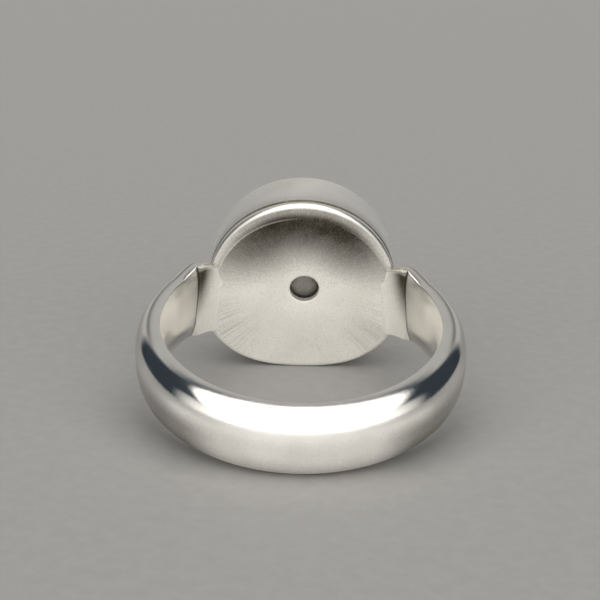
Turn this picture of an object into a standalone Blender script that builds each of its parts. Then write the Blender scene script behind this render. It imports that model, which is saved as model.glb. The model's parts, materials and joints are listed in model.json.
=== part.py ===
"""A round-headed silver signet ring, lying on its side on a table, in metres with +Z up.

The ring is laid out in its own frame first: the finger axis is local Z, the palm side of the band is at
local -Y and the seal faces local +Y. The whole ring is then tipped about X until the head's edge and the
palm side of the band both touch the table, and moved so that the origin is the middle of its base.
"""

import math

import bmesh
import bpy
import numpy as np
from mathutils import Matrix, Vector

MM = 0.001

# Finger bore and band
BORE_RADIUS = 9.6 * MM
EDGE_RELIEF = 0.4 * MM  # how far the bore opens out at its two edges, for comfort
PALM_WIDTH = 5.0 * MM
SIDE_WIDTH = 5.1 * MM
PALM_WALL = 2.6 * MM
SIDE_WALL = 2.2 * MM
SHOULDER_WALL = 2.9 * MM
SHOULDER_FLARE = 1.25 * MM  # extra half width of the band where it reaches the head
BAND_SQUARENESS = 2.6  # exponent of the domed outer outline: 2 is an ellipse
SHOULDER_SQUARENESS = 1.7

# Head: a shallow round box, its flat back plate standing a little inside the bore circle
HEAD_BACK = 8.4 * MM  # from the bore's centre to the back plate's face
HEAD_BACK_RADIUS = 7.3 * MM
HEAD_FRONT_RADIUS = 7.15 * MM
HEAD_DROP = 0.2 * MM  # the head sits this much to one side of the band's middle
HEAD_WALL = 0.95 * MM
HEAD_DEPTH = 5.35 * MM
BACK_PLATE = 0.85 * MM
BACK_EDGE_ROUND = 0.8 * MM
FRONT_EDGE_ROUND = 0.45 * MM
VENT_RADIUS = 1.03 * MM
VENT_LIP = 0.22 * MM
VENT_OFFSET = 0.2 * MM
SEAL_PLATE = 1.4 * MM
SEAL_PROUD = 0.25 * MM
BOSS_RADIUS = 2.2 * MM
BOSS_GAP = 0.6 * MM  # between the back plate and the boss behind its vent hole
BORDER_RADIUS = 5.2 * MM
BORDER_WIDTH = 0.35 * MM
BORDER_DEPTH = 0.15 * MM

# Where the shank's cut ends face the finger
CREASE_REACH = 0.9 * MM  # how far outside the ear's foot the crease lies
EAR_INSET = 0.3 * MM  # how far inside the back plate's edge the ear's foot lies

# Solder and clearances
SOLDER = 0.12 * MM
CLEARANCE = 0.02 * MM

# How finely the shapes are cut
SWEEP_STEPS = 112
DOME_STEPS = 14
BORE_STEPS = 8
TURN_STEPS = 72
ROUND_STEPS = 5

SWEEP_END = math.radians(153)
HEAD_FRONT = HEAD_BACK + HEAD_DEPTH
EAR_X = HEAD_BACK_RADIUS - EAR_INSET
CREASE_X = EAR_X + CREASE_REACH
CREASE_Y = math.sqrt(BORE_RADIUS**2 - CREASE_X**2)
WALL_INSIDE = min(HEAD_BACK_RADIUS, HEAD_FRONT_RADIUS) - HEAD_WALL


def smooth(value):
    """A ramp from 0 to 1 that starts and ends level."""
    value = np.clip(value, 0.0, 1.0)
    return value * value * (3 - 2 * value)


def material(name, colour, roughness, metallic=1.0):
    made = bpy.data.materials.new(name)
    made.use_nodes = True
    shader = made.node_tree.nodes["Principled BSDF"]
    shader.inputs["Base Color"].default_value = (*colour, 1.0)
    shader.inputs["Roughness"].default_value = roughness
    shader.inputs["Metallic"].default_value = metallic
    return made


def collection(name):
    made = bpy.data.collections.new(name)
    bpy.context.scene.collection.children.link(made)
    return made


def add_object(name, mesh, group, parent, finish=None):
    made = bpy.data.objects.new(name, mesh)
    group.objects.link(made)
    made.parent = parent
    if finish:
        mesh.materials.append(finish)
    return made


def as_cutter(obj):
    obj.hide_render = True
    obj.display_type = "WIRE"
    return obj


def boolean(obj, other, operation):
    cut = obj.modifiers.new(f"{operation.lower()} {other.name}", "BOOLEAN")
    cut.operation = operation
    cut.solver = "EXACT"
    cut.object = other


def band_outline(wall, squareness, half_width_at, radius_to_y):
    """One section of the band as rows of (radius, z): a domed outside, a bore that opens a little at its edges.

    Every point's z is its share of the band's half width at its own distance towards the head.
    """
    dome = np.linspace(-math.pi / 2, math.pi / 2, DOME_STEPS + 1)
    power = 2 / squareness
    radius = BORE_RADIUS + EDGE_RELIEF + (wall - EDGE_RELIEF) * np.abs(np.cos(dome)) ** power
    share = np.sign(dome) * np.abs(np.sin(dome)) ** power
    inside = np.linspace(1, -1, BORE_STEPS + 1)[1:-1]
    radius = np.concatenate([radius, BORE_RADIUS + EDGE_RELIEF * np.abs(inside) ** 3])
    share = np.concatenate([share, inside])
    return radius, share * half_width_at(radius * radius_to_y)


def half_width_at(y):
    flare = smooth((y - 0.6 * HEAD_BACK) / (0.42 * HEAD_BACK))
    return (PALM_WIDTH + (SIDE_WIDTH - PALM_WIDTH) * smooth(1 + y / BORE_RADIUS)) / 2 + SHOULDER_FLARE * flare


def section_at(angle):
    """The band's wall and its outline's exponent, at an angle from the middle of the palm side."""
    side = smooth(abs(angle) / (math.pi / 2))
    shoulder = smooth((abs(angle) - math.radians(112)) / math.radians(33))
    wall = PALM_WALL + (SIDE_WALL - PALM_WALL) * side + (SHOULDER_WALL - SIDE_WALL) * shoulder
    return wall, BAND_SQUARENESS + (SHOULDER_SQUARENESS - BAND_SQUARENESS) * shoulder


def band_mesh(name):
    """The whole band, from inside one side of the head round the palm to the other, as a loft of its sections."""
    mesh = bmesh.new()
    rings = []
    for angle in np.linspace(-SWEEP_END, SWEEP_END, SWEEP_STEPS + 1):
        radius, z = band_outline(*section_at(angle), half_width_at, -math.cos(angle))
        rings.append(
            [mesh.verts.new((r * math.sin(angle), -r * math.cos(angle), h)) for r, h in zip(radius, z)]
        )
    count = len(rings[0])
    for first, second in zip(rings, rings[1:]):
        for i in range(count):
            j = (i + 1) % count
            mesh.faces.new((first[i], first[j], second[j], second[i]))
    mesh.faces.new(rings[0][::-1])
    mesh.faces.new(rings[-1])
    bmesh.ops.recalc_face_normals(mesh, faces=mesh.faces)
    made = bpy.data.meshes.new(name)
    mesh.to_mesh(made)
    mesh.free()
    return made


def arc(centre, radius, start, end, steps=ROUND_STEPS):
    """Points along an arc in (radius, height), from one angle to another, in degrees."""
    angles = np.radians(np.linspace(start, end, steps + 1))
    return [(centre[0] + radius * math.cos(a), centre[1] + radius * math.sin(a)) for a in angles]


def turned(name, outline, group, parent, finish=None):
    """A solid turned about the seal's axis from its closed outline of (radius, distance from the bore's centre).

    The outline runs anticlockwise as seen with the radius to the right. A point at radius 0 closes it on the axis.
    """
    mesh = bmesh.new()
    verts = [mesh.verts.new((r, 0, h)) for r, h in reversed(outline)]
    on_axis = outline[0][0] == 0
    pairs = zip(verts, verts[1:] if on_axis else verts[1:] + verts[:1])
    for a, b in pairs:
        mesh.edges.new((a, b))
    made = bpy.data.meshes.new(name)
    mesh.to_mesh(made)
    mesh.free()
    obj = add_object(name, made, group, parent, finish)
    obj.rotation_euler = (-math.pi / 2, 0, 0)
    obj.location.z = -HEAD_DROP
    screw = obj.modifiers.new("turn", "SCREW")
    screw.steps = screw.render_steps = TURN_STEPS
    screw.use_merge_vertices = True
    screw.merge_threshold = 1e-6
    return obj


def head_envelope(name, offset, group, parent):
    """The head's outside grown by an offset, for fitting the shank's ends to it."""
    back = HEAD_BACK - offset
    widest = HEAD_BACK_RADIUS + offset
    rounding = BACK_EDGE_ROUND + offset
    outline = [(0, back)]
    outline += arc((widest - rounding, back + rounding), rounding, -90, 0)
    front = max(HEAD_BACK_RADIUS, HEAD_FRONT_RADIUS) + offset
    outline += [(widest, HEAD_BACK + BACK_PLATE), (front, HEAD_FRONT)]
    outline += [(front, HEAD_FRONT + 2 * MM), (0, HEAD_FRONT + 2 * MM)]
    return as_cutter(turned(name, outline, group, parent))


def ear_cutter(group, parent):
    """What is cut away between the shank's ends: a keystone as seen along the finger axis."""
    reach = PALM_WIDTH + SHOULDER_FLARE
    half = [(0.9 * CREASE_X, CREASE_Y - 2 * MM), (CREASE_X, CREASE_Y), (EAR_X, HEAD_BACK)]
    outline = half + [(-x, y) for x, y in reversed(half)]
    mesh = bmesh.new()
    face = mesh.faces.new([mesh.verts.new((x, y, -reach)) for x, y in outline])
    lifted = bmesh.ops.extrude_face_region(mesh, geom=[face])["geom"]
    tops = [v for v in lifted if isinstance(v, bmesh.types.BMVert)]
    bmesh.ops.translate(mesh, verts=tops, vec=(0, 0, 2 * reach))
    bmesh.ops.recalc_face_normals(mesh, faces=mesh.faces)
    made = bpy.data.meshes.new("ear_cutter")
    mesh.to_mesh(made)
    mesh.free()
    return as_cutter(add_object("ear_cutter", made, group, parent))


def side_box(name, side, group, parent):
    """A box over one half of the head, for taking that side's solder."""
    size = HEAD_FRONT + 4 * MM
    mesh = bmesh.new()
    bmesh.ops.create_cube(mesh, size=size)
    bmesh.ops.translate(mesh, verts=mesh.verts, vec=(side * size / 2, HEAD_BACK, 0))
    made = bpy.data.meshes.new(name)
    mesh.to_mesh(made)
    mesh.free()
    return as_cutter(add_object(name, made, group, parent))


def make_shank(parts, cutters, parent, finish):
    shank = add_object("shank", band_mesh("shank"), parts, parent, finish)
    boolean(shank, ear_cutter(cutters, parent), "DIFFERENCE")
    boolean(shank, head_envelope("shank_seat", SOLDER + 2 * CLEARANCE, cutters, parent), "DIFFERENCE")
    return shank


def make_shank_solder(parts, cutters, parent, finish):
    """The seam of solder between each cut end of the shank and the head."""
    outer = head_envelope("solder_outside", SOLDER + CLEARANCE, cutters, parent)
    inner = head_envelope("solder_inside", CLEARANCE, cutters, parent)
    for name, side in (("left", -1), ("right", 1)):
        seam = add_object(f"shank_solder_{name}", band_mesh(f"shank_solder_{name}"), parts, parent, finish)
        boolean(seam, side_box(f"solder_side_{name}", side, cutters, parent), "INTERSECT")
        boolean(seam, bpy.data.objects["ear_cutter"], "DIFFERENCE")
        boolean(seam, outer, "INTERSECT")
        boolean(seam, inner, "DIFFERENCE")


def make_back_plate(parts, cutters, parent, finish):
    """The disc against the finger: a rounded outer edge and a vent hole with an eased lip, drilled a little off centre."""
    top = HEAD_BACK + BACK_PLATE
    rounding = BACK_EDGE_ROUND
    outline = [(0, HEAD_BACK)]
    outline += arc((HEAD_BACK_RADIUS - rounding, HEAD_BACK + rounding), rounding, -90, 0)
    outline += [(HEAD_BACK_RADIUS, top), (0, top)]
    plate = turned("back_plate", outline, parts, parent, finish)
    outline = [(0, HEAD_BACK - MM), (VENT_RADIUS + 2 * VENT_LIP, HEAD_BACK - MM)]
    outline += [(VENT_RADIUS + 2 * VENT_LIP, HEAD_BACK)]
    outline += arc((VENT_RADIUS + VENT_LIP, HEAD_BACK + VENT_LIP), VENT_LIP, 270, 180, 3)
    outline += [(VENT_RADIUS, top + MM), (0, top + MM)]
    drill = as_cutter(turned("vent_drill", outline, cutters, parent))
    drill.location.x = VENT_OFFSET
    boolean(plate, drill, "DIFFERENCE")
    return plate


def make_head_wall(parts, parent, finish):
    """The round wall, which narrows a little towards the seal and is rounded at its front edge."""
    back = HEAD_BACK + BACK_PLATE + SOLDER
    inside = WALL_INSIDE
    ledge = HEAD_FRONT - SEAL_PLATE - SOLDER
    turn = FRONT_EDGE_ROUND
    seat = inside + 0.45 * HEAD_WALL
    outline = [(inside, back), (HEAD_BACK_RADIUS, back)]
    outline += arc((HEAD_FRONT_RADIUS - turn, HEAD_FRONT - turn), turn, 0, 90)
    outline += [(seat, HEAD_FRONT), (seat, ledge), (inside, ledge)]
    return turned("head_wall", outline, parts, parent, finish), seat, ledge


def make_seal_plate(parts, parent, finish, seat, ledge):
    """The flat seal face, let into the wall's rebate: one plain engraved line as its border, a low boss inside."""
    low = ledge + SOLDER
    high = HEAD_FRONT + SEAL_PROUD
    edge = seat - CLEARANCE
    ease = SEAL_PROUD / 2
    half = BORDER_WIDTH / 2
    boss = HEAD_BACK + BACK_PLATE + BOSS_GAP
    outline = [(0, boss), (BOSS_RADIUS, boss), (1.2 * BOSS_RADIUS, low), (edge, low)]
    outline += [(edge, high - ease), (edge - ease, high)]
    outline += [
        (BORDER_RADIUS + half, high),
        (BORDER_RADIUS, high - BORDER_DEPTH),
        (BORDER_RADIUS - half, high),
        (0, high),
    ]
    return turned("seal_plate", outline, parts, parent, finish)


def make_ring_seam(name, inner, outer, low, parts, parent, finish):
    outline = [(inner, low), (outer, low), (outer, low + SOLDER), (inner, low + SOLDER)]
    return turned(name, outline, parts, parent, finish)


def lowest(outline, tilt):
    """How low the points (y, z) reach once they are turned about X by the tilt."""
    return (outline[:, 0] * math.sin(tilt) + outline[:, 1] * math.cos(tilt)).min()


def rest_tilt():
    """The tilt at which the head's lower side and the palm side's domed edge are equally low, by halving."""
    dome = np.linspace(-math.pi / 2, 0, 400)
    power = 2 / BAND_SQUARENESS
    palm_radius = BORE_RADIUS + EDGE_RELIEF + (PALM_WALL - EDGE_RELIEF) * np.abs(np.cos(dome)) ** power
    palm = np.column_stack([-palm_radius, -(PALM_WIDTH / 2) * np.abs(np.sin(dome)) ** power])
    back = (HEAD_BACK + BACK_PLATE, -HEAD_BACK_RADIUS - HEAD_DROP)
    turn = FRONT_EDGE_ROUND
    front = arc((HEAD_FRONT - turn, turn - HEAD_FRONT_RADIUS - HEAD_DROP), turn, -90, 0)
    head = np.array([back, *front])
    small, large = 0.0, math.radians(45)
    for _ in range(60):
        tilt = (small + large) / 2
        if lowest(head, tilt) < lowest(palm, tilt):
            small = tilt
        else:
            large = tilt
    return tilt


def lay_down(empty, parts):
    """Turns the ring about X onto the table and puts the middle of its base at the origin."""
    empty.rotation_euler = (rest_tilt(), 0, 0)
    bpy.context.view_layer.update()
    graph = bpy.context.evaluated_depsgraph_get()
    low, high = Vector((1, 1, 1)), Vector((-1, -1, -1))
    for obj in parts.objects:
        if obj.type != "MESH":
            continue
        shaped = obj.evaluated_get(graph)
        for vert in shaped.data.vertices:
            place = shaped.matrix_world @ vert.co
            low = Vector(map(min, low, place))
            high = Vector(map(max, high, place))
    empty.location = (-(low.x + high.x) / 2, -(low.y + high.y) / 2, -low.z)
    bpy.context.view_layer.update()


def main():
    for obj in list(bpy.data.objects):
        bpy.data.objects.remove(obj, do_unlink=True)
    parts = collection("signet_ring")
    cutters = collection("signet_ring_cutters")
    ring = bpy.data.objects.new("ring_frame", None)
    parts.objects.link(ring)

    polished = material("polished_silver", (0.78, 0.76, 0.71), 0.12)
    satin = material("satin_silver", (0.74, 0.72, 0.68), 0.42)
    solder = material("silver_solder", (0.68, 0.65, 0.58), 0.3)

    make_shank(parts, cutters, ring, polished)
    make_shank_solder(parts, cutters, ring, solder)
    make_back_plate(parts, cutters, ring, satin)
    _, seat, ledge = make_head_wall(parts, ring, satin)
    make_seal_plate(parts, ring, polished, seat, ledge)
    make_ring_seam(
        "back_plate_solder",
        WALL_INSIDE,
        HEAD_BACK_RADIUS - CLEARANCE,
        HEAD_BACK + BACK_PLATE,
        parts,
        ring,
        solder,
    )
    make_ring_seam("seal_plate_solder", WALL_INSIDE, seat - CLEARANCE, ledge, parts, ring, solder)
    for obj in parts.objects:
        if obj.type == "MESH":
            obj.data.shade_smooth()
            obj.data.set_sharp_from_angle(angle=math.radians(40))
    lay_down(ring, parts)


main()
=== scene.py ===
"""A round-headed silver signet ring lying on its side on a pale table.

Shapes are worked out in millimetres in the ring's own frame (x across the head, y from the bore's centre
towards the seal, z along the finger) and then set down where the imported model's mounts say.
"""

import json
import math

import bpy
import numpy as np
from mathutils import Matrix, Vector


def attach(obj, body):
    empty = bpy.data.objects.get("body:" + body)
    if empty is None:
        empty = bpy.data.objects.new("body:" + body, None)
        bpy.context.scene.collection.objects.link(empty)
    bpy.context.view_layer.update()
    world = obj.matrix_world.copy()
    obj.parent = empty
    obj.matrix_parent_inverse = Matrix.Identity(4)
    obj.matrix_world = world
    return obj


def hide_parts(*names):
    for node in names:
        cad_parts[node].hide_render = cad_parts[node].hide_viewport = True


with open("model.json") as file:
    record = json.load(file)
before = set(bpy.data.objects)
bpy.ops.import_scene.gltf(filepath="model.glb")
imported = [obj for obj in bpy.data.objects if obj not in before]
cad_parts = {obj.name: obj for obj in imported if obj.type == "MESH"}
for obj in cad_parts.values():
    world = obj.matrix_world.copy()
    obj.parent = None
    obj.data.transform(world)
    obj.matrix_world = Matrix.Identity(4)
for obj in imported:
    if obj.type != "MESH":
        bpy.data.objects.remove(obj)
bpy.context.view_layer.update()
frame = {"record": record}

MM = 0.001
MOUNTS = {mount["name"]: mount for mount in frame["record"]["mounts"]}
BORE_CENTRE = np.array(MOUNTS["finger_bore"]["pos_m"])
RING_AXES = np.array(
    [[1.0, 0.0, 0.0], MOUNTS["seal_face"]["axis"], MOUNTS["finger_bore"]["axis"]]
)

# Band: millimetres, and degrees round from the palm
BORE = 9.6
EDGE_RELIEF = 0.38
EDGE_FLAT, LEAST_DOME = 0.05, 0.3
PALM_WALL, SIDE_WALL, SHOULDER_WALL = 2.6, 2.2, 2.75
PALM_HALF, SIDE_HALF = 2.5, 2.55
DOME, SHOULDER_DOME = 2.6, 2.0
SHOULDER_START, SHOULDER_RUN = 108, 36
BAND_END, BAND_STEPS = 153.0, 301
COVE_START, COVE_END, COVE_STEPS = 121, 147, 56
OUTSIDE_STEPS, INSIDE_STEPS = 124, 72
OUTSIDE_BUNCH, INSIDE_BUNCH = 0.16, 0.9
CORNER_EASE = 1.5

# How the band widens and its top falls away, by how far a circle of REACH has come towards the head
REACH = 10
FLARE_START = 4.6
TOP_FLARE, TOP_FLARE_RUN = 0.7, 2.8
LOW_FLARE, LOW_FLARE_RUN = 1.4, 3.6
TOP_FALL, TOP_FALL_START, TOP_FALL_RUN = 1.45, 6.1, 2.4

# Mean radii, which turn an angle into millimetres round the band, the disc and the head
BAND_MEAN, DISC_MEAN, HEAD_MEAN = 10.5, 6.5, 7

# Head
HEAD_DROP = 0.2
HEAD_TURNS = 320
LATHE_STEPS = 150
SOLDER = 0.12
SEAM_Y = 9.24
SEAM_INSET = 0.16
WALL_BACK = SEAM_Y + SOLDER
WALL_INSET, WALL_CHAMFER, CHAMFER_INSET = 0.02, 0.06, 0.08
WALL_INSIDE = 6.1
WALL_FRONT_RADIUS = 7.15
FRONT_Y, FRONT_ROUND = 13.75, 0.25

# Disc: its rounded edge is wider and deeper at the top, and its sides swell where the band's ends meet it
PLATE_Y = 8.28
PLATE_DISH = 0.45
PLATE_RADIUS = 7.3
PLATE_TURNS = 600
EDGE_WIDTH, EDGE_WIDER = 0.3, 0.72
EDGE_DEPTH, EDGE_DEEPER = 0.22, 0.43
BACK_DRAW = 0.04
SWELL, SWELL_START, SWELL_RUN, SWELL_END, SWELL_FALL = 0.78, 72, 36, 120, 58
BOTTOM_START, BOTTOM_RUN = 140, 40
BOTTOM_LIFT, BACK_LIFT = 0.17, 0.1
BUFFED_TO = 100

# Vent hole in the disc
VENT_RADIUS = 1.13
VENT_LIP = 0.13
VENT_OFFSET, OFFSET_START, OFFSET_RUN = 0.2, 1.3, 3.0

# Seal plate, let into the wall's rebate
REBATE_RADIUS = 6.53
LEDGE_Y = 12.18
SEAT_Y = LEDGE_Y + SOLDER
SEAT_INSIDE = 6.0
SEAL_RADIUS = 6.5
SEAL_FLAT_RADIUS = 6.42
SEAL_Y, SEAL_SIDE = 13.95, 0.25
UNDERSIDE_Y = 13
SEAL_ROUND, SEAL_ROUND_INSET = 0.12, 0.14
BORDER_RADIUS, BORDER_HALF, BORDER_DEPTH = 5.2, 0.2, 0.15
BOSS_FOOT, BOSS_RADIUS, BOSS_GAP = 2.7, 2.2, 0.13

# Cove where the band's cut ends run onto the disc, and the rounded brow along its top edge
CREASE_X, COVE_X = 7.9, 6.2
CREASE_LEAN = 0.018
CREASE_Y = math.sqrt(BORE**2 - CREASE_X**2)
CREASE_ANGLE = math.pi - math.atan2(CREASE_X, CREASE_Y)
COVE_LIFT, COVE_POINTS = 0.02, 60
COVE_TAIL_X, COVE_TAIL_Y = [5.0, 4.0], [9.8, 10.6]
BROW_WIDTH, BROW_DEPTH = 0.6, 0.42

# Finish: noise periods to a metre, or to a millimetre along and across a piece, and the bump's height
CLOUD_SCALE, GRAIN_SCALE, SPECKLE_SCALE = 320, 9000, 900
SCRATCH_SCALE, FILING_SCALE = (0.3, 9.0, 1.0), (5.0, 0.4, 1.0)
BUMP_STRENGTH, BUMP_HEIGHT = 0.34, 0.03

# Colours
CLEAN_SILVER, CLOUDED_SILVER = (0.955, 0.945, 0.915), (0.91, 0.895, 0.85)
# Dark olive brown, for patina and for painted shade and painted dark reflections
SHADE_AND_TARNISH = (0.088, 0.078, 0.05)
TABLE_DARK, TABLE_LIGHT = (0.335, 0.33, 0.325), (0.36, 0.355, 0.35)
ROOM_DARK, ROOM_PALE = (0.62, 0.8, 1.0), (1.0, 0.98, 0.945)

# Studio: where each part of the room begins, as shares of a direction of length 1, and how bright it is
LAMP_SPREAD, LAMP_BACK, LAMP_LOW = 0.88, 0.62, 0.45
WALL_SPREAD, WALL_TOP = 1.11, 0.85
FRONT_MIDDLE, FRONT_TOP = 0.48, LAMP_LOW + 0.1
LAMP_STRENGTH, WALL_STRENGTH, FRONT_STRENGTH, DARK_STRENGTH = 1.6, 0.42, 2.4, 0.05

# Camera: millimetres from the bore's centre, degrees in the ring's frame, and a lens on a 36 mm sensor
CAMERA_DISTANCE = 90
CAMERA_LENS, SENSOR = 75.12, 36.0
CAMERA_ELEVATION, CAMERA_AZIMUTH, CAMERA_ROLL = 33.87, -0.21, 1.31
CENTRE_RIGHT, CENTRE_UP = 0.000639, -0.038578

# Table, in metres
TABLE_HALF = 4.0


def smooth(value):
    """A ramp from 0 to 1 that starts and ends level: three squares less two cubes."""
    value = np.clip(value, 0.0, 1.0)
    return value * value * (3 - 2 * value)


def bump_at(value, centre, width):
    """A Gaussian: 1 at its centre, falling by the square of the distance in widths."""
    return np.exp(-(((value - centre) / width) ** 2))


def column(start, end, count, skip=0):
    """Evenly spaced values down a column, without the first few."""
    return np.linspace(start, end, count)[skip:, None]


def round_once(count):
    """Angles once round a circle, as a row."""
    return np.linspace(0, 2 * math.pi, count + 1)[:-1][None, :]


def place(points):
    """Ring-frame millimetres to table metres: the bore's centre plus each coordinate times its axis."""
    return BORE_CENTRE + MM * (points @ RING_AXES)


# Meshes from grids


def grid_quads(rows, columns, round_rows):
    """Quads of a grid whose columns close round, and whose rows do too if asked."""
    index = np.arange(rows * columns).reshape(rows, columns)
    if round_rows:
        index = np.vstack([index, index[:1]])
    index = np.hstack([index, index[:, :1]])
    quads = np.stack([index[:-1, :-1], index[:-1, 1:], index[1:, 1:], index[1:, :-1]], axis=-1)
    return quads.reshape(-1, 4)


def cap_ends(flat, rows, columns):
    """Closes the first and last rows with fans to their means, which copy an end point's marks."""
    middles = flat[:columns].mean(0), flat[-columns:].mean(0)
    start = len(flat)
    last = start - columns
    here = np.arange(columns)
    following = np.roll(here, -1)
    fans = np.vstack(
        [
            np.stack([np.full(columns, start), following, here], axis=1),
            np.stack([np.full(columns, start + 1), last + here, last + following], axis=1),
        ]
    )
    source = np.append(np.arange(start), [0, start - 1])
    return np.vstack([flat, *middles]), fans, source


def merge_poles(flat, quads, columns):
    """Makes one point of each end row, and triangles of the quads that touch it."""
    last = len(flat) - columns
    top, bottom = quads[:columns], quads[-columns:]
    fans = np.vstack(
        [
            np.stack([np.zeros(columns, int), top[:, 2], top[:, 3]], axis=1),
            np.stack([bottom[:, 0], bottom[:, 1], np.full(columns, last)], axis=1),
        ]
    )
    keep = np.ones(len(flat), bool)
    keep[1:columns] = False
    keep[last + 1 :] = False
    number = np.cumsum(keep) - 1
    return flat[keep], number[quads[columns:-columns]], number[fans], np.flatnonzero(keep)


def add_marks(mesh, marks, source):
    """One named number per point, such as how satin the surface is there."""
    for name, values in marks.items():
        layer = mesh.attributes.new(name, "FLOAT", "POINT")
        layer.data.foreach_set("value", values.reshape(-1)[source].astype(np.float32))


def add_uv(mesh, uv, source):
    """The two measures of the grid, in millimetres, as the mesh's UV map."""
    corner = np.empty(len(mesh.loops), np.int32)
    mesh.loops.foreach_get("vertex_index", corner)
    layer = mesh.uv_layers.new(name="along")
    at_corners = uv.reshape(-1, 2)[source][corner]
    layer.data.foreach_set("uv", at_corners.astype(np.float32).reshape(-1))


def skin(name, points, material, uv, marks=None, ends="round"):
    """A closed mesh from a grid of points whose columns close round.

    Its end rows join each other ("round"), are capped ("caps"), or are each one point ("poles"). The
    volume, the sum of each triangle's triple product, decides which way the faces are turned.
    """
    rows, columns = points.shape[:2]
    flat = points.reshape(-1, 3)
    quads = grid_quads(rows, columns, ends == "round")
    fans = np.zeros((0, 3), int)
    source = np.arange(len(flat))
    if ends == "caps":
        flat, fans, source = cap_ends(flat, rows, columns)
    if ends == "poles":
        flat, quads, fans, source = merge_poles(flat, quads, columns)
    corners = np.vstack([quads[:, [0, 1, 2]], quads[:, [0, 2, 3]], fans])
    normals = np.cross(flat[corners[:, 1]], flat[corners[:, 2]])
    if np.einsum("ij,ij->i", flat[corners[:, 0]], normals).sum() < 0:
        quads, fans = quads[:, ::-1], fans[:, ::-1]
    mesh = bpy.data.meshes.new(name)
    mesh.from_pydata(place(flat).tolist(), [], quads.tolist() + fans.tolist())
    add_marks(mesh, marks or {}, source)
    add_uv(mesh, uv, source)
    mesh.shade_smooth()
    mesh.materials.append(material)
    made = bpy.data.objects.new(name, mesh)
    bpy.context.scene.collection.objects.link(made)
    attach(made, "root")
    return made


# Band


def eased(outline):
    """Each closed outline (second axis) averaged round itself by a Gaussian CORNER_EASE samples wide."""
    wave = np.fft.fft(outline, axis=1)
    count = outline.shape[1]
    turns = np.minimum(np.arange(count), count - np.arange(count)) * (2 * math.pi / count)
    return np.real(np.fft.ifft(wave * np.exp(-0.5 * (CORNER_EASE * turns) ** 2)[None, :], axis=1))


def cove_radius(angle):
    """How far the satin cove beside the head lies from the bore's centre, at an angle from the palm.

    The cove leaves the bore at a crease and swings to lie flat on the disc: its y falls from the disc's
    by the square of its distance outward. Past the disc's face it runs on through two points inside the
    head.
    """
    x = np.linspace(CREASE_X, COVE_X, COVE_POINTS)
    y = PLATE_Y + COVE_LIFT - (PLATE_Y - CREASE_Y) * ((x - COVE_X) / (CREASE_X - COVE_X)) ** 2
    x = np.append(x, COVE_TAIL_X)
    y = np.append(y, COVE_TAIL_Y)
    return np.interp(angle, math.pi - np.arctan2(x, y), np.hypot(x, y), left=0.0)


def band_angles():
    """Degrees from the palm, as a column in radians: even steps, and closer ones through the coves."""
    cove = np.linspace(COVE_START, COVE_END, COVE_STEPS)
    steps = np.concatenate([np.linspace(-BAND_END, BAND_END, BAND_STEPS), cove, -cove])
    return np.radians(np.unique(np.round(steps, 4)))[:, None]


def band_heights(size):
    """The band's reach above and below its middle: half its width, plus flares, less the top's fall."""
    reach = -REACH * np.cos(size)
    half = PALM_HALF + (SIDE_HALF - PALM_HALF) * smooth(size / (math.pi / 2))
    top = half + TOP_FLARE * smooth((reach - FLARE_START) / TOP_FLARE_RUN)
    top = top - TOP_FALL * smooth((reach - TOP_FALL_START) / TOP_FALL_RUN)
    low = half + LOW_FLARE * smooth((reach - FLARE_START) / LOW_FLARE_RUN)
    return top, low


def band_finish(size, share, top, inner_height, past_crease, brow):
    """How satin the band is, and how darkened by painted shade, outside and then inside.

    The share runs from -1 at the lower edge to 1 at the top, and degrees run from the palm.

    The palm is rubbed satin below its top edge, and the coves are filed satin except on the brow.
    Outside, painted shade darkens the band's underside, more on the lower sides, over the shoulders, and
    most in a painted dark reflection line along their top edge. Inside, painted shade lies in the crease
    and on the upper part of the metal to either side of it. Each is a product of ramps, and each line a
    Gaussian.
    """
    degrees = np.degrees(size)
    palm_satin = 0.8 * smooth((0.72 - share) / 0.34) * (1 - smooth((degrees - 38) / 30))
    # Painted shade: the underside, more on the lower sides and over the shoulders, and a painted dark
    # reflection line along the shoulders' top edge
    underside = 0.56 * smooth((0.5 - share) / 0.6)
    underside = underside * smooth((degrees - 22) / 20) * (1 - smooth((degrees - 80) / 25))
    shoulder = 0.36 * smooth((0.9 - share) / 0.1) + 0.62 * bump_at(share, 0.955, 0.022)
    painted_outer_shade = 0.22 * smooth((-share - 0.1) / 0.8) + underside + smooth((degrees - 62) / 20) * shoulder

    in_cove = (past_crease > 0).astype(float)
    rubbed = smooth(brow * 2)
    inner_satin = np.where(in_cove, 1.0 - 0.85 * rubbed, 0.2)
    # Painted shade inside: in the crease, on the cove's upper part off the brow, and on the bore's upper
    # part beside the crease
    cove = in_cove * bump_at(past_crease, 3.0, 7.5) * smooth((inner_height + 2.2) / 4.5) * (1 - rubbed)
    beside = 0.3 * (1 - in_cove) * smooth((past_crease + 20) / 8) * smooth((inner_height + 1) / 3)
    painted_inner_shade = 0.75 * bump_at(past_crease, 0.3, 0.55) + cove + beside
    return np.hstack([palm_satin, inner_satin]), np.hstack([painted_outer_shade, painted_inner_shade])


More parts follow.
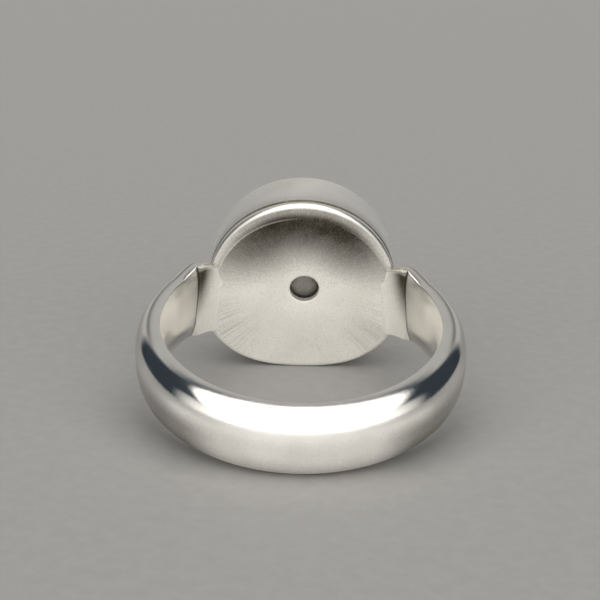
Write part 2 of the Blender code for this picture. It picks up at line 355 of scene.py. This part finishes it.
def band_grid():
    """The band's points, its satin and painted shade, and its lengthwise and crosswise measure.

    Each section at an angle from the palm is a superellipse dome outside, over a bore that opens by the
    cube of the distance from its middle, or over the cove where that lies further out. The cove's top
    edge is rounded into a brow, which deepens by the square. All corners are eased by a Gaussian.
    """
    angle = band_angles()
    size = np.abs(angle)
    side = smooth(size / (math.pi / 2))
    shoulder = smooth((size - math.radians(SHOULDER_START)) / math.radians(SHOULDER_RUN))
    wall = PALM_WALL + (SIDE_WALL - PALM_WALL) * side + (SHOULDER_WALL - SIDE_WALL) * shoulder
    power = 2 / (DOME + (SHOULDER_DOME - DOME) * shoulder)
    top, low = band_heights(size)

    def inner(share):
        """Radius and height on the inside, at a share of the way from its middle to an edge."""
        height = np.where(share > 0, share * top, share * low)
        bore = BORE + EDGE_RELIEF * np.abs(share) ** 3
        return np.maximum(bore, cove_radius(size - CREASE_LEAN * height)), height

    turn = np.linspace(-math.pi / 2, math.pi / 2, OUTSIDE_STEPS)[None, :]
    turn = turn - OUTSIDE_BUNCH * np.sin(4 * turn) / 4
    share = np.sign(turn) * np.abs(np.sin(turn)) ** power
    top_rim, low_rim = inner(np.ones_like(size))[0], inner(-np.ones_like(size))[0]
    rim = np.where(share > 0, top_rim, low_rim) + EDGE_FLAT
    crest = np.maximum(BORE + wall, rim + LEAST_DOME)
    radius = rim + (crest - rim) * np.abs(np.cos(turn)) ** power
    height = np.where(share > 0, share * top, share * low)

    under = np.cos(np.linspace(0, math.pi, INSIDE_STEPS + 2)[1:-1])[None, :] * np.ones_like(size)
    under = np.sign(under) * np.abs(under) ** INSIDE_BUNCH
    inner_radius, inner_height = inner(under)
    past_crease = np.degrees(size - CREASE_LEAN * inner_height) - math.degrees(CREASE_ANGLE)
    brow = smooth((inner_height - top + BROW_WIDTH) / BROW_WIDTH) * smooth((past_crease + 1.5) / 5)
    inner_radius = inner_radius + BROW_DEPTH * brow**2

    radius = eased(np.hstack([radius, inner_radius]))
    height = eased(np.hstack([height, inner_height]))
    points = np.stack([radius * np.sin(angle), -radius * np.cos(angle), height], axis=-1)
    satin, shade_and_tarnish = band_finish(size, share, top, inner_height, past_crease, brow)
    palm = len(angle) // 2
    step = np.hypot(np.diff(radius[palm]), np.diff(height[palm]))
    across = np.append(0, np.cumsum(step))[None, :]
    uv = np.stack(np.broadcast_arrays(BAND_MEAN * angle, across), axis=-1)
    return points, uv, {"satin": satin, "shade_and_tarnish": shade_and_tarnish}


def make_band():
    """The band: a buffed surface from band_grid, capped at its two ends inside the head."""
    points, uv, marks = band_grid()
    material = silver("band silver", "satin", polished_roughness=0.085, satin_roughness=0.85)
    band = skin("band", points, material, uv, marks, ends="caps")
    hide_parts("shank", "shank_solder_left", "shank_solder_right")


# Head


def turned(radius, y, around, shift=0.0):
    """Points turned about the seal's axis: x and z are the radius times the sine and cosine of the turn.

    A shift moves points towards +x, and half as far towards -z.
    """
    x = radius * np.sin(around) + shift
    z = radius * np.cos(around) - HEAD_DROP - 0.5 * shift
    return np.stack([x, y * np.ones_like(x), z * np.ones_like(x)], axis=-1)


def disc_profile(outer, back_outer, edge, deep):
    """Radius and y of the disc's rows: the vent's wall and lip, dished face, rounded edge, side and back.

    The face is dished by the square of its radius. The lip is a quarter of a circle, and the edge a
    quarter of an ellipse. Behind it the disc draws in by the square of the depth.
    """
    ones = np.ones_like(outer)
    dish = PLATE_Y + PLATE_DISH
    s = column(0, 1, 7)
    vent = VENT_RADIUS * ones * np.ones_like(s), (SEAM_Y + (dish + VENT_LIP - SEAM_Y) * s) * ones
    s = column(0, 1, 9, 1) * math.pi / 2
    lip_radius = VENT_RADIUS + VENT_LIP * (1 - np.cos(s))
    lip = lip_radius * ones, (dish + VENT_LIP * (1 - np.sin(s))) * ones
    s = column(0, 1, 70, 1)
    flat = VENT_RADIUS + VENT_LIP + (outer - edge - VENT_RADIUS - VENT_LIP) * s
    face = flat, PLATE_Y + PLATE_DISH * (1 - (flat / (outer - edge)) ** 2)
    s = column(0, 1, 25, 1) * math.pi / 2
    rounding = outer - edge * (1 - np.sin(s)), PLATE_Y + deep * (1 - np.cos(s))
    s = column(0, 1, 14, 1)
    side = outer + (back_outer - outer) * s**2, PLATE_Y + deep + (SEAM_Y - PLATE_Y - deep) * s
    s = column(0, 1, 12, 1)[:-1]
    back = back_outer + (VENT_RADIUS - back_outer) * s, SEAM_Y * ones * np.ones_like(s)
    rows = vent, lip, face, rounding, side, back
    return np.vstack([r for r, _ in rows]), np.vstack([y for _, y in rows])


def disc_finish(radius, depth, around, from_top, outer, edge):
    """How satin the disc is, and how darkened by painted shade, painted reflection and scratches.

    The way over the edge runs from 0, where its rounding starts, to 1 on the outside.

    The disc is satin, and only the outer part of its rounded edge is partly buffed, down to a little
    below its middle. Painted shade lies on the upper part of the face, more towards the edge, and in the
    vent hole, and a painted dark reflection lies in the rounding. A painted highlight lightens a fine
    line where the rounding starts, on the side of negative x. Scratches, a random share at each turn,
    darken it where they fan out at the lower sides. Each is a product of ramps, and the line and the
    spread of the scratches are Gaussians.
    """
    upper_side = from_top < BUFFED_TO
    high = radius * np.cos(around) / PLATE_RADIUS
    over_edge = (radius - outer + edge) / edge
    rim = smooth((over_edge + 0.04) / 0.03)
    face = 1 - rim
    polish = smooth((radius - (outer - 0.3 * edge)) / (0.2 * edge))
    polish = polish * smooth((depth - PLATE_Y + 0.02) / 0.03) * upper_side
    # Painted dark reflection in the rounded edge, most towards the top
    rounding = (0.95 - 0.45 * smooth(over_edge / 0.6)) * smooth((0.92 - over_edge) / 0.25)
    rounding = rounding * rim * upper_side * (0.4 + 0.6 * smooth((high - 0.4) / 0.5))
    scratches = np.random.default_rng(4).random(around.shape) ** 3 * smooth((radius - 4.0) / 2.6) * face
    scratches = scratches * bump_at(from_top, 122, 18)
    # Painted shade on the upper part of the face, more towards the edge
    painted_top_shade = smooth((radius / PLATE_RADIUS - 0.15) / 0.65) * (1 - smooth((from_top - 32) / 66)) * face
    # Painted highlight: a fine lighter line where the rounding starts, on the side of negative x
    painted_glint = bump_at(radius - outer + edge, 0.03, 0.035) * smooth((0.1 - np.sin(around)) / 0.4)
    painted_glint = painted_glint * (high > 0.1)
    # Painted shade in the vent hole
    in_hole = (depth > PLATE_Y + PLATE_DISH + 0.5 * VENT_LIP) & (radius < 2)
    shade_and_tarnish = (0.92 * painted_top_shade + rounding + 0.5 * in_hole + 0.22 * scratches) * (1 - 0.8 * painted_glint)
    return 1 - 0.7 * polish, shade_and_tarnish


def disc_grid():
    """The disc's points, its satin, its painted shade and scratches, and its measures round and outward.

    Its rounded edge is widest at the top and narrows by a power of the cosine. The outline swells at
    the sides, where the band's ends meet it, and draws in at the bottom, where it nears the table. The
    vent hole is off the disc's centre, and that offset fades out by the middle of the face.
    """
    around = round_once(PLATE_TURNS)
    lean = ((1 + np.cos(around)) / 2) ** 1.5
    edge = EDGE_WIDTH + EDGE_WIDER * lean
    deep = EDGE_DEPTH + EDGE_DEEPER * lean
    from_top = np.degrees(np.minimum(around, 2 * math.pi - around))
    bottom = smooth((from_top - BOTTOM_START) / BOTTOM_RUN)
    swell = SWELL * smooth((from_top - SWELL_START) / SWELL_RUN)
    swell = swell * (1 - smooth((from_top - SWELL_END) / SWELL_FALL))
    outer = PLATE_RADIUS + swell - BOTTOM_LIFT * bottom
    back_outer = PLATE_RADIUS - BACK_DRAW - BACK_LIFT * bottom
    radius, depth = disc_profile(outer, back_outer, edge, deep)
    shift = VENT_OFFSET * (1 - smooth((radius - OFFSET_START) / OFFSET_RUN))
    satin, shade_and_tarnish = disc_finish(radius, depth, around, from_top, outer, edge)
    uv = np.stack(np.broadcast_arrays(around * DISC_MEAN, radius + depth), axis=-1)
    return turned(radius, depth, around, shift), uv, {"satin": satin, "shade_and_tarnish": shade_and_tarnish}


def make_disc():
    """The disc against the finger: a satin surface whose rows close round through the vent."""
    points, uv, marks = disc_grid()
    material = silver("plate silver", "satin", satin_roughness=0.9)
    plate = skin("back_disc", points, material, uv, marks)
    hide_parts("back_plate")


def lathe_grid(outline):
    """A closed outline of (radius, y) corners, spaced evenly by length, turned about the seal's axis."""
    outline = np.array(outline, float)
    ring = np.vstack([outline, outline[:1]])
    length = np.append(0, np.cumsum(np.hypot(*np.diff(ring, axis=0).T)))
    at = np.unique(np.append(length[:-1], np.linspace(0, length[-1], LATHE_STEPS)[:-1]))
    radius = np.interp(at, length, ring[:, 0])[:, None]
    depth = np.interp(at, length, ring[:, 1])[:, None]
    around = round_once(HEAD_TURNS)
    uv = np.stack(np.broadcast_arrays(around * HEAD_MEAN, at[:, None]), axis=-1)
    return turned(radius, depth, around), uv


def arc(centre_radius, centre_y, size, start, end, steps=10):
    """Points on a circle in (radius, y) between two angles in degrees."""
    a = np.radians(np.linspace(start, end, steps))
    return list(zip(centre_radius + size * np.cos(a), centre_y + size * np.sin(a)))


def solder_ring(name, outer, low, material):
    """A flat ring of solder: a rectangle, from the wall's inside out, turned about the seal's axis."""
    high = low + SOLDER
    points, uv = lathe_grid([(WALL_INSIDE, low), (outer, low), (outer, high), (WALL_INSIDE, high)])
    return skin(name, points, material, uv)


def make_back_seam(material):
    """The solder between the disc and the wall."""
    seam = solder_ring("back_seam", PLATE_RADIUS - SEAM_INSET, SEAM_Y, material)
    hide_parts("back_plate_solder")


def make_seal_seam(material):
    """The solder between the wall's ledge and the seal plate."""
    seat = solder_ring("seal_seam", SEAL_RADIUS, LEDGE_Y, material)
    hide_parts("seal_plate_solder")


def make_head_side():
    """The round wall: chamfered behind, narrowing by a power of 1.5 to a rounded and rebated front.

    It is darkened by a Gaussian on the distance from its back edge, and more on the edge itself.
    """
    widest = PLATE_RADIUS - WALL_INSET
    start, end = WALL_BACK + WALL_CHAMFER, FRONT_Y - FRONT_ROUND
    s = np.linspace(0.08, 0.96, 20)
    side = zip(widest - (widest - WALL_FRONT_RADIUS) * s**1.5, start + (end - start) * s)
    outline = [(WALL_INSIDE, WALL_BACK), (widest - CHAMFER_INSET, WALL_BACK), (widest, start), *side]
    outline += arc(WALL_FRONT_RADIUS - FRONT_ROUND, end, FRONT_ROUND, 0, 90)
    outline += [(REBATE_RADIUS, FRONT_Y), (REBATE_RADIUS, LEDGE_Y), (WALL_INSIDE, LEDGE_Y)]
    points, uv = lathe_grid(outline)
    y = points[..., 1]
    # Darker near the back edge, where the wall meets the disc, and darkest on the edge itself
    shade_and_tarnish = 0.3 * bump_at(y, WALL_BACK, 1.1) + 0.65 * (y < WALL_BACK + 0.1)
    material = silver("wall silver", None, satin_roughness=0.42)
    wall = skin("head_side", points, material, uv, {"shade_and_tarnish": shade_and_tarnish})
    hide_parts("head_wall")


def seal_grid():
    """The seal plate from its axis outward and back under to the boss on its inside.

    It is flat, with one engraved border line shaped as a cosine dip. The line and the whole inside are
    satin and darkened, more so in their upper half: patina in the engraved line, and painted shade on
    the inside, which shows through the vent hole, darkest at its top.
    """
    radius = SEAL_FLAT_RADIUS * column(0, 1, 120)
    wave = np.clip(np.cos((radius - BORDER_RADIUS) / BORDER_HALF * math.pi / 2), 0, 1)
    dip = BORDER_DEPTH * wave * (np.abs(radius - BORDER_RADIUS) < BORDER_HALF)
    rounding = arc(SEAL_RADIUS - SEAL_ROUND_INSET, SEAL_Y - SEAL_ROUND, SEAL_ROUND, 80, 0, 7)
    side = [(SEAL_RADIUS, SEAL_Y - SEAL_SIDE), (SEAL_RADIUS, SEAT_Y)]
    boss = SEAM_Y + BOSS_GAP
    inside = [(SEAT_INSIDE, SEAT_Y), (BOSS_FOOT, SEAT_Y), (BOSS_RADIUS, boss), (0.0, boss)]
    outline = np.vstack([np.hstack([radius, SEAL_Y - dip]), rounding, side, inside])
    around = round_once(HEAD_TURNS)
    radius, depth = outline[:, :1], outline[:, 1:]
    points = turned(radius, depth, around)
    hidden = (np.abs(radius - BORDER_RADIUS) < BORDER_HALF) | (depth < UNDERSIDE_Y)
    satin = hidden * np.ones_like(around)
    # Patina in the engraved line, and painted shade on the inside seen through the vent hole, darker
    # towards the top
    shade_and_tarnish = (0.4 + 0.45 * smooth((points[..., 2] + 0.5) / 1.2)) * hidden
    return points, points[:, :, [0, 2]], {"satin": satin, "shade_and_tarnish": shade_and_tarnish}


def make_seal():
    """The seal plate: a buffed surface from seal_grid, whose end rows are points on the seal's axis."""
    points, uv, marks = seal_grid()
    material = silver("seal silver", "satin", polished_roughness=0.1)
    seal = skin("seal_face", points, material, uv, marks, ends="poles")
    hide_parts("seal_plate")


# Materials


def math_node(tree, operation, *values):
    """One operation on values that are numbers or other nodes' outputs."""
    node = tree.nodes.new("ShaderNodeMath")
    node.operation = operation
    for socket, value in zip(node.inputs, values):
        if isinstance(value, (int, float)):
            socket.default_value = value
        else:
            tree.links.new(value, socket)
    return node.outputs[0]


def from_middle(tree, value, gain, base):
    """A base plus a gain times how far the value lies above a half."""
    return math_node(tree, "MULTIPLY_ADD", math_node(tree, "SUBTRACT", value, 0.5), gain, base)


def noise(tree, vector, scale, detail, rough):
    """Fractal noise between 0 and 1, with this many periods to the vector's unit."""
    node = tree.nodes.new("ShaderNodeTexNoise")
    node.inputs["Scale"].default_value = scale
    node.inputs["Detail"].default_value = detail
    node.inputs["Roughness"].default_value = rough
    tree.links.new(vector, node.inputs["Vector"])
    return node.outputs["Fac"]


def stretched(tree, vector, scale):
    """The vector with each coordinate times its own scale."""
    node = tree.nodes.new("ShaderNodeMapping")
    node.inputs["Scale"].default_value = scale
    tree.links.new(vector, node.inputs["Vector"])
    return node.outputs["Vector"]


def ramp(tree, value, stops):
    """A colour that runs straight from the first stop's to the second's, as the value does."""
    node = tree.nodes.new("ShaderNodeValToRGB")
    for element, (at, colour) in zip(node.color_ramp.elements, stops):
        element.position = at
        element.color = (*colour, 1.0)
    tree.links.new(value, node.inputs["Fac"])
    return node.outputs["Color"]


def mark(tree, name):
    """The piece's own number of this name at each point, or 0 where it has none."""
    node = tree.nodes.new("ShaderNodeAttribute")
    node.attribute_name = name
    return node.outputs["Fac"]


def satin_or_polished(tree, satin, polished, filed):
    """The polished roughness where satin is 0, and the filed one where it is 1."""
    node = tree.nodes.new("ShaderNodeMix")
    node.data_type = "FLOAT"
    for socket, value in zip((node.inputs[0], node.inputs[2], node.inputs[3]), (satin, polished, filed)):
        if isinstance(value, float):
            socket.default_value = value
        else:
            tree.links.new(value, socket)
    return node.outputs[0]


def shade_and_tarnish_blend(tree, amount, clean):
    """The clean colour mixed straight towards the dark olive brown of patina and painted shade by an
    amount.
    """
    node = tree.nodes.new("ShaderNodeMix")
    node.data_type = "RGBA"
    tree.links.new(amount, node.inputs[0])
    tree.links.new(clean, node.inputs[6])
    node.inputs[7].default_value = (*SHADE_AND_TARNISH, 1.0)
    return node.outputs[2]


def silver(name, satin_mark, polished_roughness=0.07, satin_roughness=0.4, tone=1.0):
    """Worn sterling silver. Where the satin mark is 1, or with no mark, it is filed, and elsewhere buffed.

    The buffed roughness is a base plus cloudy wear plus hairline scratches along the piece, and the
    filed one a base plus cloudy wear plus filing across it. The colour is a cloudy warm white, darkened
    by the piece's darkening mark, which holds painted shade and painted dark reflections as well as
    patina and scratches, and, where it is satin, by the rub: fine grain plus a little filing. The bump
    is the scratches plus a little filing, and where it is satin the grain plus more filing.
    """
    made = bpy.data.materials.new(name)
    made.use_nodes = True
    tree = made.node_tree
    shader = tree.nodes["Principled BSDF"]
    shader.inputs["Metallic"].default_value = 1.0
    coordinates = tree.nodes.new("ShaderNodeTexCoord")
    place_of, along = coordinates.outputs["Object"], coordinates.outputs["UV"]
    satin = mark(tree, satin_mark) if satin_mark else 1.0
    cloud = noise(tree, place_of, CLOUD_SCALE, 4.0, 0.6)
    scratch = noise(tree, stretched(tree, along, SCRATCH_SCALE), 1.0, 5.0, 0.75)
    cross = noise(tree, stretched(tree, along, FILING_SCALE), 1.0, 4.0, 0.7)
    grain = noise(tree, place_of, GRAIN_SCALE, 3.0, 0.7)

    buffed = from_middle(tree, cloud, 0.05, from_middle(tree, scratch, 0.10, polished_roughness))
    filed = from_middle(tree, cross, 0.12, from_middle(tree, cloud, 0.22, satin_roughness))
    tree.links.new(satin_or_polished(tree, satin, buffed, filed), shader.inputs["Roughness"])

    clouded, clear = np.array([CLOUDED_SILVER, CLEAN_SILVER]) * tone
    clean = ramp(tree, cloud, [(0.3, clouded), (0.62, clear)])
    # The darkening mark holds painted shade and painted dark reflections as well as patina and scratches
    mottled = math_node(tree, "MULTIPLY", mark(tree, "shade_and_tarnish"), from_middle(tree, cloud, 0.5, 1.0))
    rub = from_middle(tree, cross, 0.1, from_middle(tree, grain, 0.5, 0.0))
    amount = math_node(tree, "MAXIMUM", math_node(tree, "MULTIPLY_ADD", rub, satin, mottled), 0.0)
    tree.links.new(shade_and_tarnish_blend(tree, amount, clean), shader.inputs["Base Color"])

    height = math_node(tree, "MULTIPLY", grain, satin)
    height = math_node(tree, "MULTIPLY_ADD", math_node(tree, "MULTIPLY", cross, satin), 0.35, height)
    height = math_node(tree, "MULTIPLY_ADD", scratch, 0.5, height)
    height = math_node(tree, "MULTIPLY_ADD", cross, 0.2, height)
    bump = tree.nodes.new("ShaderNodeBump")
    bump.inputs["Strength"].default_value = BUMP_STRENGTH
    bump.inputs["Distance"].default_value = BUMP_HEIGHT * MM
    tree.links.new(height, bump.inputs["Height"])
    tree.links.new(bump.outputs["Normal"], shader.inputs["Normal"])
    return made


# Surroundings


def make_table():
    """A flat square of pale paint, whose colour wanders a little with a fine noise."""
    mesh = bpy.data.meshes.new("table")
    half = TABLE_HALF
    corners = [(-half, -half, 0), (half, -half, 0), (half, half, 0), (-half, half, 0)]
    mesh.from_pydata(corners, [], [(0, 1, 2, 3)])
    floor = bpy.data.objects.new("table", mesh)
    bpy.context.scene.collection.objects.link(floor)
    paint = bpy.data.materials.new("pale table")
    paint.use_nodes = True
    tree = paint.node_tree
    shader = tree.nodes["Principled BSDF"]
    shader.inputs["Roughness"].default_value = 0.6
    shader.inputs["Specular IOR Level"].default_value = 0.2
    place_of = tree.nodes.new("ShaderNodeTexCoord").outputs["Object"]
    speckle = noise(tree, place_of, SPECKLE_SCALE, 3.0, 0.6)
    colour = ramp(tree, speckle, [(0.3, TABLE_DARK), (0.7, TABLE_LIGHT)])
    tree.links.new(colour, shader.inputs["Base Color"])
    mesh.materials.append(paint)


def make_studio():
    """The room: a broad soft lamp above and in front, a pale wall behind, and dark sides.

    The lamp is every direction high enough and in front of two planes, which lean back overhead and
    come forward to either side. The pale wall is the directions within about fifty degrees of straight
    back, up to nearly overhead. A bright front lies under the lamp, strongest straight ahead, and the
    rest is dark. Each edge is a straight ramp on the direction's distance past its plane.
    """
    world = bpy.data.worlds.new("studio")
    bpy.context.scene.world = world
    world.use_nodes = True
    tree = world.node_tree
    background = tree.nodes["Background"]
    split = tree.nodes.new("ShaderNodeSeparateXYZ")
    tree.links.new(tree.nodes.new("ShaderNodeTexCoord").outputs["Generated"], split.inputs[0])
    x, y, z = split.outputs
    sides = math_node(tree, "ABSOLUTE", x)
    ahead = math_node(tree, "MULTIPLY", y, -1.0)

    def past(value, start, soft):
        """A straight ramp from 0 to 1, as wide as soft, with its middle at the start."""
        beyond = math_node(tree, "SUBTRACT", value, start)
        share = math_node(tree, "MULTIPLY_ADD", beyond, 1 / soft, 0.5)
        return math_node(tree, "MINIMUM", math_node(tree, "MAXIMUM", share, 0.0), 1.0)

    def below(start, soft):
        """One less the ramp of the direction's height: 1 for the directions under the start."""
        return math_node(tree, "SUBTRACT", 1.0, past(z, start, soft))

    def both(first, second, strength):
        """The product of two ramps and a strength."""
        return math_node(tree, "MULTIPLY", math_node(tree, "MULTIPLY", first, second), strength)

    over = math_node(tree, "MULTIPLY_ADD", z, LAMP_BACK, ahead)
    lean = math_node(tree, "MULTIPLY_ADD", sides, -LAMP_SPREAD, over)
    back = math_node(tree, "MULTIPLY_ADD", y, WALL_SPREAD, math_node(tree, "MULTIPLY", sides, -1.0))
    lamp = both(past(lean, 0.0, 0.05), past(z, LAMP_LOW, 0.16), LAMP_STRENGTH)
    wall = both(past(back, 0.0, 0.2), below(WALL_TOP, 0.1), WALL_STRENGTH)
    front = both(past(ahead, FRONT_MIDDLE, 0.9), below(FRONT_TOP, 0.2), FRONT_STRENGTH)
    strength = math_node(tree, "MAXIMUM", math_node(tree, "MAXIMUM", lamp, wall), front)
    strength = math_node(tree, "MAXIMUM", strength, DARK_STRENGTH)
    tree.links.new(strength, background.inputs["Strength"])
    tint = ramp(tree, strength, [(DARK_STRENGTH, ROOM_DARK), (0.3, ROOM_PALE)])
    tree.links.new(tint, background.inputs["Color"])


def unit(vector):
    """The vector over its own length."""
    return vector / np.linalg.norm(vector)


def make_camera():
    """A camera round the bore's centre, by azimuth and elevation in the ring's frame, then rolled.

    It is aimed so that the bore's centre lies off the view's middle by two tangents, to the right and up.
    """
    elevation, azimuth, roll = np.radians([CAMERA_ELEVATION, CAMERA_AZIMUTH, CAMERA_ROLL])
    across = math.cos(elevation)
    back = np.array([math.sin(azimuth) * across, -math.cos(azimuth) * across, math.sin(elevation)])
    level = unit(np.cross(-back, [0, 0, 1]))
    rise = np.cross(level, -back)
    right = math.cos(roll) * level + math.sin(roll) * rise
    up = math.cos(roll) * rise - math.sin(roll) * level
    aim = unit(-back - CENTRE_RIGHT * right - CENTRE_UP * up)
    right = unit(np.cross(aim, up))
    turn = np.column_stack([right, np.cross(right, aim), -aim])
    camera = bpy.data.cameras.new("camera")
    camera.sensor_width = SENSOR
    camera.lens = CAMERA_LENS
    camera.clip_start, camera.clip_end = 0.001, 20.0
    made = bpy.data.objects.new("camera", camera)
    bpy.context.scene.collection.objects.link(made)
    ring_to_table = RING_AXES.T
    matrix = Matrix((ring_to_table @ turn).tolist()).to_4x4()
    matrix.translation = Vector(BORE_CENTRE + MM * CAMERA_DISTANCE * (ring_to_table @ back))
    made.matrix_world = matrix
    bpy.context.scene.camera = made


make_band()
make_disc()
seam_silver = silver("seam silver", None, satin_roughness=0.6, tone=0.28)
make_back_seam(seam_silver)
make_head_side()
make_seal_seam(seam_silver)
make_seal()
make_table()
make_studio()
make_camera()
bpy.context.scene.view_settings.view_transform = "Standard"
